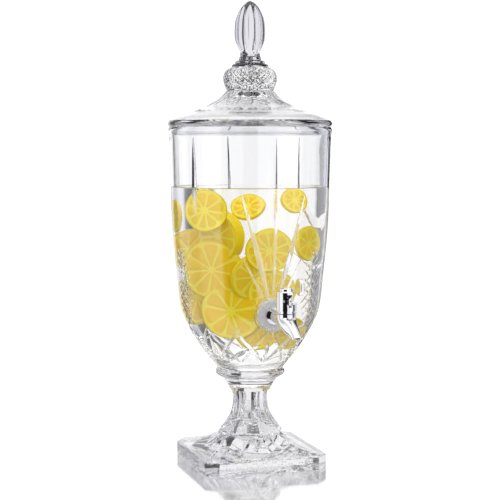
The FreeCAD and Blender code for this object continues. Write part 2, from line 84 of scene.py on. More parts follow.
BOWL = [(39.0, 113.2), (47.3, 123.6), (58.5, 138.0), (71.4, 159.4), (80.8, 181.0), (86.3, 223.4),
        (91.5, 280.0), (93.2, 335.0), (94.8, 385.0)]
LIP = [(94.8, 385.0), (95.45, 387.6), (95.7, 391.0), (94.6, 394.4)]
INSIDE = [(0.0, 120.6), (13.0, 121.4), (26.0, 124.8), (37.0, 130.4), (51.0, 140.6), (65.5, 160.0),
          (75.2, 183.0), (80.9, 223.4), (86.2, 280.0), (87.8, 335.0), (88.9, 380.0), (90.6, 394.4)]
CROWN = [(94.2, 402.0), (81.0, 407.4), (68.2, 412.0), (57.1, 416.8), (46.6, 421.4), (36.0, 427.6),
         (27.2, 436.8)]
LID_EDGE = [(93.4, 394.8), (95.6, 397.0), (95.65, 399.6), (94.2, 402.0)]
UNDERSIDE = [(85.2, 398.0), (78.0, 401.6), (64.0, 407.0), (50.0, 412.8), (38.0, 418.8), (28.5, 425.6),
             (20.0, 430.6), (12.0, 432.5)]
BEAD = [(27.2, 436.8), (29.4, 442.1), (31.4, 450.0), (30.0, 457.2), (26.7, 461.0), (22.6, 463.6)]


def smooth(points, steps):
    """Catmull-Rom curve through the points, spaced by chord length."""
    p = np.array(points, float)
    ghost_start = 2 * p[0] - p[1]
    ghost_end = 2 * p[-1] - p[-2]
    p = np.vstack([ghost_start, p, ghost_end])
    knots = np.concatenate([[0], np.cumsum(np.sqrt(np.linalg.norm(np.diff(p, axis=0), axis=1)))])
    lengths = np.linalg.norm(np.diff(p[1:-1], axis=0), axis=1)
    share = np.maximum(1, np.round(steps * lengths / lengths.sum())).astype(int)
    out = []
    for i, count in enumerate(share):
        p0, p1, p2, p3 = p[i:i + 4]
        t0, t1, t2, t3 = knots[i:i + 4]
        for t in np.linspace(t1, t2, count, endpoint=False):
            a1 = (t1 - t) / (t1 - t0) * p0 + (t - t0) / (t1 - t0) * p1
            a2 = (t2 - t) / (t2 - t1) * p1 + (t - t1) / (t2 - t1) * p2
            a3 = (t3 - t) / (t3 - t2) * p2 + (t - t2) / (t3 - t2) * p3
            b1 = (t2 - t) / (t2 - t0) * a1 + (t - t0) / (t2 - t0) * a2
            b2 = (t3 - t) / (t3 - t1) * a2 + (t - t1) / (t3 - t1) * a3
            out.append((t2 - t) / (t2 - t1) * b1 + (t - t1) / (t2 - t1) * b2)
    out.append(p[-2])
    return [tuple(q) for q in out]


# ---------------------------------------------------------------- mesh building

def mesh_object(name, verts, faces):
    """New object in the scene from points in metres."""
    mesh = bpy.data.meshes.new(name)
    mesh.from_pydata([tuple(v) for v in verts], [], [tuple(f) for f in faces])
    mesh.validate()
    obj = bpy.data.objects.new(name, mesh)
    bpy.context.scene.collection.objects.link(obj)
    return obj


def soften(obj, angle=28):
    """Smooth shading, with the edges over the angle left sharp."""
    mesh = obj.data
    mesh.polygons.foreach_set("use_smooth", [True] * len(mesh.polygons))
    mesh.set_sharp_from_angle(angle=math.radians(angle))
    mesh.update()


def rings(levels, closed=False):
    """Skins a stack of equal rings, each an (n, 3) array in millimetres, or a single point at a pole."""
    verts = []
    starts = []
    for level in levels:
        starts.append(len(verts))
        verts.extend(np.atleast_2d(level) * MM)
    faces = []
    pairs = list(zip(range(len(levels)), range(1, len(levels))))
    if closed:
        pairs.append((len(levels) - 1, 0))
    for low, high in pairs:
        n_low = len(np.atleast_2d(levels[low]))
        n_high = len(np.atleast_2d(levels[high]))
        n = max(n_low, n_high)
        a, b = starts[low], starts[high]
        for i in range(n):
            j = (i + 1) % n
            if n_low == 1:
                faces.append((a, b + j, b + i))
            elif n_high == 1:
                faces.append((a + i, a + j, b))
            else:
                faces.append((a + i, a + j, b + j, b + i))
    return verts, faces


def circle(radius, z, angles):
    return np.stack([radius * np.cos(angles), radius * np.sin(angles), np.full(len(angles), z)], 1)


def lathe(name, outline, steps=LATHE_STEPS, closed=False):
    """Solid of revolution; the outline runs so that the solid lies on its left, from axis to axis."""
    angles = np.arange(steps) * 2 * math.pi / steps
    levels = []
    for r, z in outline:
        if r < 1e-6:
            levels.append(np.array([[0.0, 0.0, z]]))
        else:
            levels.append(circle(r, z, angles))
    return mesh_object(name, *rings(levels, closed))


def boolean(obj, other, operation="DIFFERENCE"):
    """Applies one exact cut or union and deletes the tool."""
    modifier = obj.modifiers.new("cut", "BOOLEAN")
    modifier.operation = operation
    modifier.solver = "MANIFOLD"
    modifier.object = other
    graph = bpy.context.evaluated_depsgraph_get()
    mesh = bpy.data.meshes.new_from_object(obj.evaluated_get(graph))
    obj.modifiers.clear()
    old = obj.data
    obj.data = mesh
    bpy.data.meshes.remove(old)
    bpy.data.objects.remove(other)


def rod(name, start, end, radius, steps=64):
    """Closed cylinder between two points in millimetres."""
    start, end = np.array(start, float), np.array(end, float)
    axis = (end - start) / np.linalg.norm(end - start)
    side = np.cross(axis, [0, 0, 1] if abs(axis[2]) < 0.9 else [1, 0, 0])
    side /= np.linalg.norm(side)
    up = np.cross(axis, side)
    angles = np.arange(steps) * 2 * math.pi / steps
    wheel = radius * (np.outer(np.cos(angles), side) + np.outer(np.sin(angles), up))
    return mesh_object(name, *rings([start, start + wheel, end + wheel, end]))


# ---------------------------------------------------------------- cut glass

class Wall:
    """The turned surface that cuts are laid on: place(angle, height) gives a point and its outward normal."""

    def __init__(self, outline):
        outline = sorted(outline, key=lambda q: q[1])
        self.r = np.array([q[0] for q in outline])
        self.z = np.array([q[1] for q in outline])

    def radius(self, z):
        return np.interp(z, self.z, self.r)

    def place(self, angle, z):
        r = self.radius(z)
        slope = self.radius(z + 0.5) - self.radius(z - 0.5)
        out = np.stack([np.cos(angle), np.sin(angle), -slope], -1)
        out /= np.linalg.norm(out, axis=-1, keepdims=True)
        return np.stack([r * np.cos(angle), r * np.sin(angle), z + 0 * r], -1), out


def cutter(points, normals, depths, ratio, round_bottom=False, lift=1.0):
    """Closed tool that leaves a groove of the given depths; ratio is its half width over its depth."""
    tangents = np.gradient(points, axis=0)
    sides = np.cross(normals, tangents)
    sides /= np.linalg.norm(sides, axis=1, keepdims=True)
    samples = np.linspace(-1, 1, 9 if round_bottom else 3)
    levels = []
    for p, n, s, d in zip(points, normals, sides, depths):
        full = d + lift
        fall = 1 - samples ** 2 if round_bottom else 1 - np.abs(samples)
        section = p + np.outer(samples * ratio * full, s) + np.outer(lift - full * fall, n)
        levels.append(section)
    first, last = levels[0].mean(0), levels[-1].mean(0)
    return rings([first] + levels + [last])


def spun(parts, copies, start=0.0):
    """Copies (verts, faces) tools round Z and gathers them into one mesh."""
    verts, faces = [], []
    for part_verts, part_faces in parts:
        part_verts = np.array(part_verts)
        for k in range(copies):
            angle = start + 2 * math.pi * k / copies
            c, s = math.cos(angle), math.sin(angle)
            turned = part_verts @ np.array([[c, s, 0], [-s, c, 0], [0, 0, 1]])
            base = len(verts)
            verts.extend(turned)
            faces.extend([tuple(base + i for i in f) for f in part_faces])
    return verts, faces


def swell(n, depth, ends=(1.0, 1.0)):
    """Depths of a cut that rises out of the glass at both ends."""
    t = np.linspace(0, 1, n)
    rise = np.minimum(1, t / max(ends[0], 1e-6)) * np.minimum(1, (1 - t) / max(ends[1], 1e-6))
    return -0.12 + (depth + 0.12) * np.sqrt(np.clip(rise, 0, 1))


def wall_cut(wall, start, end, depth, ratio, ends=(0.5, 0.5), n=22, bow=0.0):
    """A cut along the wall from (angle in degrees, height) to another, bowed sideways in degrees."""
    t = np.linspace(0, 1, n)
    angle = np.radians(start[0] + (end[0] - start[0]) * t + bow * np.sin(math.pi * t))
    z = start[1] + (end[1] - start[1]) * t
    points, normals = wall.place(angle, z)
    return cutter(points, normals, swell(n, depth, ends), ratio)


TAP_DIRECTION = -math.pi / 2            # the tap faces -Y
VIEW_BEARING = math.radians(-108.0)     # the side that faces the main camera


def cut_pattern(obj, wall):
    """Spears, fans, hatched lozenges and the crossing wedges of the bowl."""
    def cut(parts, copies=FOLD):
        tool = mesh_object("tool", *spun(parts, copies, TAP_DIRECTION))
        boolean(obj, tool)

    def ray(lean, top, depth, ratio, ends, foot=2.0):
        """A cut leaning by so many degrees, measured on the flattened wall, out of the fan's foot."""
        offset = math.degrees((top - FAN_Z) * math.tan(math.radians(abs(lean))) / wall.radius(top))
        for side in ((-1, 1) if lean else (0,)):
            cut([wall_cut(wall, (side * offset, top), (side * 0.09 * abs(lean), FAN_Z + foot),
                          depth, ratio, ends, 40)], FANS)

    ray(0, SPEAR_TOP, 2.0, 1.15, (0.62, 0.6), 0.0)
    ray(16, 320, 2.5, 1.4, (0.6, 0.4))
    ray(30, 252, 1.5, 1.15, (0.6, 0.4))
    for lean in (4, 9.5, 15, 20.5, 26):
        ray(lean, 230 - 0.25 * lean, 0.5, 1.2, (0.35, 0.5), 9.0)
    # one tall spear between each two fans
    cut([wall_cut(wall, (BETWEEN_FANS, SPEAR_TOP), (BETWEEN_FANS, 292), 2.8, 1.45, (0.62, 0.3), 30)], FANS)
    # a hatched kite on one side of each fan
    for lean in (-1, 1):
        for step in range(KITE_STEPS):
            middle = 172 + 9.6 * step
            half = 3.0 + 2.2 * min(step + 1, KITE_STEPS - step)
            cut([wall_cut(wall, (KITE_MIDDLE - lean * half, middle - half * 1.2),
                          (KITE_MIDDLE + lean * half, middle + half * 1.2),
                          1.0, 1.25, (0.25, 0.25), 14)], FANS)
    # wedges of the bowl, crossing
    for lean in (-1, 1):
        cut([wall_cut(wall, (0, BOWL_FOOT), (lean * 35, BOWL_TOP), 2.5, 1.5, (0.5, 0.6), 30, 2.0 * lean)])
        cut([wall_cut(wall, (30, BOWL_FOOT), (30 + lean * 31, 168), 2.2, 1.5, (0.5, 0.6), 30, 2.0 * lean)])
    # short leaves under each fan
    cut([wall_cut(wall, (0, 156), (0, 124), 1.8, 1.7, (0.5, 0.4), 18)])


def mark_cuts(obj, wall, least=0.1, broad=0.3, deepest=4.2):
    """Second material slot for the faces of the broad cuts, third for the fine ones; all are under the water."""
    mesh = obj.data
    count = len(mesh.polygons)
    centres = np.empty(count * 3)
    normals = np.empty(count * 3)
    mesh.polygons.foreach_get("center", centres)
    mesh.polygons.foreach_get("normal", normals)
    centres = centres.reshape(-1, 3) / MM
    normals = normals.reshape(-1, 3)
    r = np.hypot(centres[:, 0], centres[:, 1])
    depth = wall.radius(centres[:, 2]) - r
    outward = (normals[:, 0] * centres[:, 0] + normals[:, 1] * centres[:, 1]) / np.maximum(r, 1e-6) > 0.1
    in_belt = (centres[:, 2] > wall.z[0] + 0.5) & (centres[:, 2] < WATER_Z)
    cut = (depth > least) & (depth < deepest) & outward & in_belt
    round_fan = (np.degrees(np.arctan2(centres[:, 1], centres[:, 0]) - TAP_DIRECTION)) % (360 / FANS)
    hatched = (round_fan > HATCHED[0]) & (round_fan < HATCHED[1]) & (centres[:, 2] < HATCHED_TOP)
    bowl = centres[:, 2] < BOWL_TOP
    kind = np.where(cut, np.where((depth > broad) & ~hatched & ~bowl, 1, 2), 0)
    mesh.polygons.foreach_set("material_index", kind.astype(np.int32))
    mesh.update()


def vessel():
    """Open urn with its cuts and the flat seats and hole for the tap; also gives the wall that the cuts follow."""
    outer = smooth(BOWL, 90) + smooth(LIP, 8)[1:]
    inner = smooth(INSIDE[::-1], 90)
    obj = lathe("cut_glass_vessel", [(0.0, BOWL[0][1])] + outer + inner)
    wall = Wall(smooth(BOWL, 400))
    cut_pattern(obj, wall)
    for start, end, radius, operation in ((75, SEAT_FACE, SEAT_RADIUS, "UNION"),
                                          (INNER_FACE, 80, INNER_RADIUS, "UNION"),
                                          (SEAT_FACE, CLEAR_OF_GLASS, SEAT_RADIUS, "DIFFERENCE"),
                                          (40, INNER_FACE, INNER_RADIUS, "DIFFERENCE"),
                                          (60, CLEAR_OF_GLASS, TAP_HOLE, "DIFFERENCE")):
        boolean(obj, rod("tool", (0, -start, TAP_Z), (0, -end, TAP_Z), radius), operation)
    soften(obj)
    return obj, wall


FLUTES = (27.5, 53.0)       # radii between which the shallow flutes of the lid run


def lid():
    """Domed lid with a skirt inside the rim and two rows of shallow flutes under the bead."""
    crown = smooth(CROWN, 40)
    edge = smooth(LID_EDGE, 10)
    under = smooth(UNDERSIDE, 34)
    outline = [(88.9, 394.8)] + edge + crown[1:] + [(SCREW_HOLE, 436.8), (SCREW_HOLE, 432.5)]
    outline += under[::-1] + [(85.2, 386.6), (85.8, 386.0), (88.3, 386.0), (88.9, 386.6)]
    obj = lathe("glass_lid", outline, closed=True)
    n = 20
    r = np.linspace(*FLUTES, n)
    curve = np.array(smooth(CROWN, 300))
    z = np.interp(r, curve[::-1, 0], curve[::-1, 1])
    slope = np.gradient(z, r)
    normals = np.stack([-slope, 0 * r, np.ones(n)], 1)
    normals /= np.linalg.norm(normals, axis=1, keepdims=True)
    share = 1 - (r - FLUTES[0]) / (FLUTES[1] - FLUTES[0])
    depths = -0.1 + 1.7 * np.sqrt(np.clip(share * 2.2, 0, 1)) * r / 45
    flute = cutter(np.stack([r, 0 * r, z], 1), normals, depths, 5.2, True, lift=0.4)
    for start in (0, 1):
        tool = mesh_object("tool", *spun([flute], 8, TAP_DIRECTION + start * math.pi / 8))
        boolean(obj, tool)
    soften(obj, 20)
    return obj


def bead():
    """Round bead covered in small diamonds by grooves that cross."""
    outer = smooth(BEAD, 40)
    # the ground seat beds a little into the crown, so no air shows between them
    obj = lathe("diamond_bead", [(SCREW_HOLE, 436.6), (26.9, 436.6)] + outer + [(SCREW_HOLE, 463.6)], closed=True)
    wall = Wall(smooth(BEAD, 300))
    count = 30
    for lean in (-1, 1):
        for start in (0, 1):
            groove = wall_cut(wall, (0, 437.6), (lean * 54, 462.6), 1.25, 1.15, (0.08, 0.08), 26)
            tool = mesh_object("tool", *spun([groove], count // 2, start * 2 * math.pi / count))
            boolean(obj, tool)
    soften(obj)
    return obj


def polygon_factor(angles, sides, turn=0.0):
    """Radius of a regular polygon with unit corners, at each angle."""
    step = 2 * math.pi / sides
    local = (angles - turn) % step - step / 2
    return math.cos(step / 2) / np.cos(local)


def morph(name, levels, angles):
    """Solid from (height, radii at the angles) levels, closed with flat ends."""
    stack = [np.array([[0.0, 0.0, levels[0][0]]])]
    stack += [circle(radii, z, angles) for z, radii in levels]
    stack.append(np.array([[0.0, 0.0, levels[-1][0]]]))
    return mesh_object(name, *rings(stack))


def finial():
    """Stepped round flange that becomes an eight-sided drop with hollowed faces."""
    per_side = 12
    angles = np.arange(SIDES * per_side) * 2 * math.pi / (SIDES * per_side) + math.pi / SIDES
    eight = polygon_factor(angles, SIDES, math.pi / SIDES)
    hollow = eight - 0.085 * (1 - np.abs(((angles - math.pi / SIDES) % (math.pi / 4)) * 8 / math.pi - 1) ** 2)
    rounds = [(20.6, 463.6), (21.2, 464.2), (21.2, 466.0), (20.7, 466.6), (17.6, 468.2), (17.4, 468.6),
              (17.3, 470.0), (16.9, 470.5), (13.5, 471.8), (13.1, 472.4), (12.9, 474.2)]
    drop = smooth([(12.2, 475.6), (11.3, 478.0), (11.6, 481.4), (14.0, 487.5), (17.0, 496.0), (17.6, 507.0),
                   (16.4, 518.0), (12.7, 527.6), (8.6, 534.0), (3.4, 538.8), (0.9, 539.9)], 46)
    levels = [(z, r * np.ones(len(angles))) for r, z in rounds]
    for r, z in drop:
        share = min(1.0, max(0.0, (z - 474.0) / 10.0))
        tip = min(1.0, max(0.0, (540.0 - z) / 10.0))
        shape = 1 + (eight * 1.02 + (hollow - eight) * tip - 1) * share
        levels.append((z, r * shape))
    obj = morph("glass_finial", levels, angles)
    boolean(obj, rod("screw_hole", (0, 0, 460), (0, 0, 475), 2.5, 32))
    soften(obj, 22)
    return obj


# ---------------------------------------------------------------- foot

FOOT_HALF = 73.5
FOOT_CLIP = 13.8
FOOT_TOP = 15.7
SKIRT = [(65.6, FOOT_TOP + 0.2), (57.0, 18.6), (48.0, 23.6), (41.0, 30.0), (37.6, 33.6)]
SKIRT_TOP_RADIUS = 37.6
SKIRT_SPREAD = 28.0         # how far the skirt reaches out below its top, in round figures
ROSETTE_SPACING = 12.4
ROSETTE_Z = 7.6
PETAL_REACH = 3.6
DIMPLE = 1.5


def foot_angles():
    """Even steps, with the clipped corners' own angles added."""
    even = np.arange(128) * 2 * math.pi / 128
    a = math.atan2(FOOT_HALF - FOOT_CLIP, FOOT_HALF)
    exact = [q * math.pi / 2 + s * a for q in range(4) for s in (-1, 1)]
    exact = [e % (2 * math.pi) for e in exact]
    kept = [e for e in even if min(abs(e - x) for x in exact) > 0.012]
    return np.array(sorted(kept + exact))


def foot_radius(angles, half, clip):
    """Outline of a square with clipped corners."""
    side = half / np.maximum(np.abs(np.cos(angles)), np.abs(np.sin(angles)))
    reach = (2 * half - clip) / math.sqrt(2)
    nearest = (angles - math.pi / 4) % (math.pi / 2)
    nearest = np.minimum(nearest, math.pi / 2 - nearest)
    return np.minimum(side, reach / np.cos(nearest))


def skirt_radius(angles, middle, squareness):
    """Eight corners, every second one drawn out towards the foot's corners."""
    corner = middle * (1 + (math.sqrt(2) - 1) * squareness)
    local = angles % (math.pi / 2)
    local = np.minimum(local, math.pi / 2 - local)
    ax, ay = middle, 0.0
    bx, by = corner * math.cos(math.pi / 4), corner * math.sin(math.pi / 4)
    cross = ax * by - ay * bx
    return cross / ((by - ay) * np.cos(local) - (bx - ax) * np.sin(local))


def pedestal():
    """Square foot, skirt, collar, eight-sided stem and round cup, in one piece."""
    angles = foot_angles()
    eight = polygon_factor(angles, SIDES)
    step = math.pi / 4
    local = np.abs((angles % step) / step * 2 - 1)
    hollow = -(1 - local ** 2)
    levels = []
    for inset, z in ((0.7, 0.0), (0.0, 0.7), (0.0, FOOT_TOP - 0.8), (0.8, FOOT_TOP)):
        levels.append((z, foot_radius(angles, FOOT_HALF - inset, FOOT_CLIP)))
    for r, z in smooth(SKIRT, 16):
        squareness = ((r - SKIRT_TOP_RADIUS) / SKIRT_SPREAD) ** 0.8 if r > SKIRT_TOP_RADIUS else 0.0
        levels.append((z, skirt_radius(angles, r, squareness)))
    levels += [(34.2, 39.0 * eight), (34.8, 39.4 * eight), (37.2, 39.4 * eight), (37.9, 38.9 * eight)]
    stem = smooth([(36.6, 38.6), (31.8, 45.5), (26.4, 53.5), (22.6, 63.0), (21.1, 73.0), (21.0, 79.0),
                   (22.4, 85.2)], 30)
    for r, z in stem:
        levels.append((z, r * (eight * 1.01 + 0.085 * hollow)))
    levels += [(85.8, 23.4 * eight), (86.2, 23.6 * np.ones(len(angles)))]
    cup = smooth([(23.9, 86.8), (25.4, 90.0), (28.8, 95.6), (33.2, 100.8), (35.4, 102.3), (36.6, 102.7)], 16)
    bead_ring = smooth([(37.0, 103.2), (39.8, 105.0), (40.9, 107.8), (39.9, 110.4), (38.2, 111.5)], 14)
    for r, z in cup + bead_ring + [(37.4, 112.2), (36.0, 112.6)]:
        levels.append((z, r * np.ones(len(angles))))
    obj = morph("glass_pedestal", levels, angles)
    cut_skirt(obj)
    stipple_foot(obj)
    soften(obj)
    return obj


def cut_skirt(obj):
    """Narrow wedges running down each face of the skirt."""
    flare = np.array(smooth(SKIRT, 60))
    for spread, start in ((-0.80, 0.03), (-0.24, 0.30), (0.24, 0.30), (0.80, 0.03)):
        n = 16
        t = np.linspace(start, 0.99, n)
        r = np.interp(t, np.linspace(0, 1, len(flare)), flare[:, 0])
        z = np.interp(t, np.linspace(0, 1, len(flare)), flare[:, 1])
        x = r * spread * (0.42 + 0.58 * (r - SKIRT_TOP_RADIUS) / SKIRT_SPREAD)
        squareness = np.clip((r - SKIRT_TOP_RADIUS) / SKIRT_SPREAD, 0, 1) ** 0.8
        angle = np.arctan2(x, r)
        true = skirt_radius(np.abs(angle), r, squareness)
        points = np.stack([true * np.cos(angle), true * np.sin(angle), z], 1)
        slope = np.gradient(z, r)
        normals = np.stack([-slope, 0 * r, np.ones(n)], 1)
        normals /= np.linalg.norm(normals, axis=1, keepdims=True)
        groove = cutter(points, normals, swell(n, 2.1, (0.6, 0.25)), 1.2)
        boolean(obj, mesh_object("tool", *spun([groove], 4)))


def stipple_foot(obj):
    """A row of small pressed rosettes along each side of the foot."""
    arc = [(DIMPLE * math.cos(a), DIMPLE * math.sin(a)) for a in np.linspace(-1.2, 1.2, 7)]
    dimple = lathe("dimple", [(0.0, -DIMPLE)] + arc + [(0.0, DIMPLE)], 10)
    verts = np.array([v.co[:] for v in dimple.data.vertices])
    faces = [tuple(p.vertices) for p in dimple.data.polygons]
    bpy.data.objects.remove(dimple)
    sixths = np.arange(6) * math.pi / 3
    petals = [(0.0, 0.0)] + [(PETAL_REACH * math.cos(a), PETAL_REACH * math.sin(a)) for a in sixths]
    parts = []
    for k in range(-4, 5):
        for y, z in petals:
            middle = np.array([FOOT_HALF + 1.05, y + k * ROSETTE_SPACING, z + ROSETTE_Z])
            parts.append((verts + middle * MM, faces))
    boolean(obj, mesh_object("tool", *spun(parts, 4)))


# ---------------------------------------------------------------- spring

def coil_spring(name, node, wire=0.5, turns=5):
    """Open coil that fills the room of its CAD node."""
    low, high = (np.array(corner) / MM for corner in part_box(node))
    centre = (low + high) / 2
    radius = (high[0] - low[0]) / 2 - wire
    section = np.arange(12) * math.pi / 6
    levels = []
    for t in np.linspace(0, 1, turns * 40 + 1):
        a = 2 * math.pi * turns * t
        out = np.array([math.cos(a), math.sin(a), 0.0])
        middle = np.array([centre[0], centre[1], low[2] + wire + t * (high[2] - low[2] - 2 * wire)]) + radius * out
        levels.append(middle + wire * (np.outer(np.cos(section), out) - np.outer(np.sin(section), [0, 0, 1])))
    obj = mesh_object(name, *rings([levels[0].mean(0)] + levels + [levels[-1].mean(0)]))
    soften(obj, 40)
    return obj


# ---------------------------------------------------------------- contents

def water():
    """Fills the urn to the waterline; it reaches a little into the wall, so no air shows between them."""
    inner = [(r + 0.35, z) for r, z in smooth(INSIDE, 90) if z < WATER_Z]
    inner[0] = (0.0, inner[0][1] - 0.35)
    inner = [inner[0]] + [(r, z - 0.3) for r, z in inner[1:]]
    wall_r = inner[-1][0]
    meniscus = [(wall_r, WATER_Z + 1.2), (wall_r - 0.6, WATER_Z + 0.75), (wall_r - 1.6, WATER_Z + 0.25),
                (wall_r - 3.2, WATER_Z), (wall_r * 0.5, WATER_Z), (0.0, WATER_Z)]
    obj = lathe("water", inner + meniscus, 128)
    boolean(obj, rod("boss_room", (0, -73.8, TAP_Z), (0, -90, TAP_Z), 17.2))
    soften(obj)
    return obj


def slice_parts(radius, thickness, seed):
    """One round of lemon: rind, pith disc and pulp wedges, each as ((verts, faces), material slot)."""
    rng = random.Random(seed)
    half = thickness / 2
    steps = 48
    angles = np.arange(steps) * 2 * math.pi / steps
    wobble = 1 + 0.012 * np.sin(3 * angles + rng.uniform(0, 6)) + 0.01 * np.sin(5 * angles + rng.uniform(0, 6))

    def wheel(r, z):
        return np.stack([r * wobble * np.cos(angles), r * wobble * np.sin(angles), np.full(steps, z)], 1)

    rind = rings([wheel(radius - 1.5, -half), wheel(radius - 0.5, -half), wheel(radius, -half * 0.35),
                  wheel(radius, half * 0.35), wheel(radius - 0.5, half), wheel(radius - 1.5, half)], True)
    disc = rings([[0, 0, -half + 0.35], wheel(radius - 1.45, -half + 0.25), wheel(radius - 1.45, half - 0.25),
                  [0, 0, half - 0.35]])
    groups = [(rind, 0), (disc, 1)]
    count = rng.choice((8, 9, 9, 10))
    phase = rng.uniform(0, 6)
    weights = np.array([rng.uniform(0.85, 1.15) for _ in range(count)])
    edges = phase + np.concatenate([[0], np.cumsum(weights / weights.sum())]) * 2 * math.pi
    for a, b in zip(edges[:-1], edges[1:]):
        outer = radius - 3.6
        middle = (a + b) / 2
        spread = (b - a) / 2 - 0.045
        rim = []
        for t in np.linspace(-1, 1, 9):
            r = outer * (1 - 0.10 * abs(t) ** 5)
            rim.append((r, middle + spread * t * (1 - 0.6 / r)))
        tip = [(3.38, middle + s * spread * 0.5) for s in (1, -1)]
        outline = np.array([(r * math.cos(q), r * math.sin(q)) for r, q in rim + tip])
        centre = outline.mean(0)

        def layer(scale, z):
            flat = centre + (outline - centre) * scale
            return np.column_stack([flat, np.full(len(flat), z)])

        bulge = half + rng.uniform(-0.15, 0.15)
        wedge = rings([[*centre, -bulge], layer(0.7, -bulge), layer(0.95, -bulge + 0.25), layer(1.0, -half + 0.6),
                       layer(1.0, half - 0.6), layer(0.95, bulge - 0.25), layer(0.7, bulge), [*centre, bulge]])
        groups.append((wedge, 2))
    return groups


# right, front and height of the centre in mm, turn and tilt of its face in degrees, radius and, for an end
# piece, thickness, as seen from the side that shows the tap a little to the right
SLICES = [
    (-46, 46, 300, -10, 10, 24.0), (-75, 8, 292, -78, 0, 19.0), (-27, 30, 272, -52, -8, 28.0, 12.0),
    (-38, 34, 233, -12, -6, 33.0), (-19, 38, 186, -6, 10, 31.0), (6, 34, 166, 14, 16, 24.0),
    (4, 40, 226, 30, -12, 27.0), (20, 50, 256, 6, -10, 25.0), (22, 36, 208, 10, -10, 25.0),
    (58, 30, 262, 58, 4, 20.0), (44, 38, 311, 30, 22, 15.0), (-2, 28, 304, -14, 36, 17.0),
    (40, 18, 160, 40, -16, 19.0), (-46, -4, 198, -38, 10, 26.0), (-8, 12, 204, 12, 14, 28.0),
    (-50, -18, 254, -60, 12, 24.0),
]


def lemon_slice(index, materials, right, front, height, turn, tilt, radius, thickness=4.6):
    """A slice in its place in the water; the values after the materials are a row of SLICES."""
    verts, faces, slots = [], [], []
    for (part_verts, part_faces), slot in slice_parts(radius, thickness, 100 + index):
        base = len(verts)
        verts.extend(part_verts)
        faces.extend([tuple(base + i for i in f) for f in part_faces])
        slots.extend([slot] * len(part_faces))
    points = np.array(verts)
    # a soft bend, as a wet slice has
    rng = random.Random(500 + index)
    bend = rng.uniform(-1.6, 1.6)
    fold = rng.uniform(0, math.pi)
    along = points[:, 0] * math.cos(fold) + points[:, 1] * math.sin(fold)
    points[:, 2] += bend * (along / 0.028) ** 2 * 0.001
    azimuth = VIEW_BEARING + math.radians(turn)
    elevation = math.radians(tilt)
    place = (right * -math.sin(VIEW_BEARING) + front * math.cos(VIEW_BEARING),
             right * math.cos(VIEW_BEARING) + front * math.sin(VIEW_BEARING), height)
    normal = Vector((math.cos(azimuth) * math.cos(elevation), math.sin(azimuth) * math.cos(elevation),
                     math.sin(elevation)))
    rotation = normal.to_track_quat("Z", "Y").to_matrix() @ Matrix.Rotation(rng.uniform(0, 6), 3, "Z")
    points = points @ np.array(rotation).T + np.array(place) * MM
    obj = mesh_object("lemon_slice_%02d" % (index + 1), points, faces)
    for material in materials:
        obj.data.materials.append(material)
    obj.data.polygons.foreach_set("material_index", slots)
    soften(obj, 40)
    return obj


# ---------------------------------------------------------------- materials

def new_material(name):
    material = bpy.data.materials.new(name)
    material.use_nodes = True
    nodes = material.node_tree.nodes
    return material, nodes, material.node_tree.links, nodes["Principled BSDF"]


def noise(nodes, links, scale, detail=4.0, roughness=0.55, stretch=None):
    """Noise in object space, in features per metre."""
    coords = nodes.new("ShaderNodeTexCoord")
    texture = nodes.new("ShaderNodeTexNoise")
    texture.inputs["Scale"].default_value = scale
    texture.inputs["Detail"].default_value = detail
    texture.inputs["Roughness"].default_value = roughness
    source = coords.outputs["Object"]
    if stretch:
        mapping = nodes.new("ShaderNodeMapping")
        mapping.inputs["Scale"].default_value = stretch
        links.new(source, mapping.inputs["Vector"])
        source = mapping.outputs["Vector"]
    links.new(source, texture.inputs["Vector"])
    return texture.outputs["Fac"]


def remap(nodes, links, value, low, high, out_low, out_high):
    node = nodes.new("ShaderNodeMapRange")
    node.inputs["From Min"].default_value = low
    node.inputs["From Max"].default_value = high
    node.inputs["To Min"].default_value = out_low
    node.inputs["To Max"].default_value = out_high
    links.new(value, node.inputs["Value"])
    return node.outputs["Result"]


def bump(nodes, links, shader, height, distance):
    node = nodes.new("ShaderNodeBump")
    node.inputs["Distance"].default_value = distance
    node.inputs["Strength"].default_value = 1.0
    links.new(height, node.inputs["Height"])
    links.new(node.outputs["Normal"], shader.inputs["Normal"])


def blend_colors(nodes, links, factor, first, second):
    ramp = nodes.new("ShaderNodeValToRGB")
    ramp.color_ramp.elements[0].color = (*first, 1)
    ramp.color_ramp.elements[1].color = (*second, 1)
    links.new(factor, ramp.inputs["Fac"])
    return ramp.outputs["Color"]


def glass_material(name, tint_and_shade, polish=(0.0, 0.02), clear=1.0):
    """Fire-polished pressed glass: faint mould ripple and a slight change of polish; a dark tint paints shade into
    the glass.
    """
    material, nodes, links, shader = new_material(name)
    shader.inputs["Transmission Weight"].default_value = clear
    shader.inputs["IOR"].default_value = 1.5
    mottled = noise(nodes, links, 55, 3)
    lighter = tuple(min(1.0, c + 0.012) for c in tint_and_shade)
    links.new(blend_colors(nodes, links, mottled, tint_and_shade, lighter), shader.inputs["Base Color"])
    finish = remap(nodes, links, noise(nodes, links, 160, 5), 0.40, 0.70, *polish)
    links.new(finish, shader.inputs["Roughness"])
    bump(nodes, links, shader, noise(nodes, links, 38, 2), 0.00006)
    return material


def water_material():
    material, nodes, links, shader = new_material("clear_water")
    shader.inputs["Transmission Weight"].default_value = 1.0
    shader.inputs["IOR"].default_value = 1.333
    shader.inputs["Roughness"].default_value = 0.0
    cloud = noise(nodes, links, 20, 3)
    links.new(blend_colors(nodes, links, cloud, (0.985, 0.99, 0.975), (1.0, 1.0, 0.99)), shader.inputs["Base Color"])
    bump(nodes, links, shader, noise(nodes, links, 24, 2, 0.5), 0.0004)
    return material


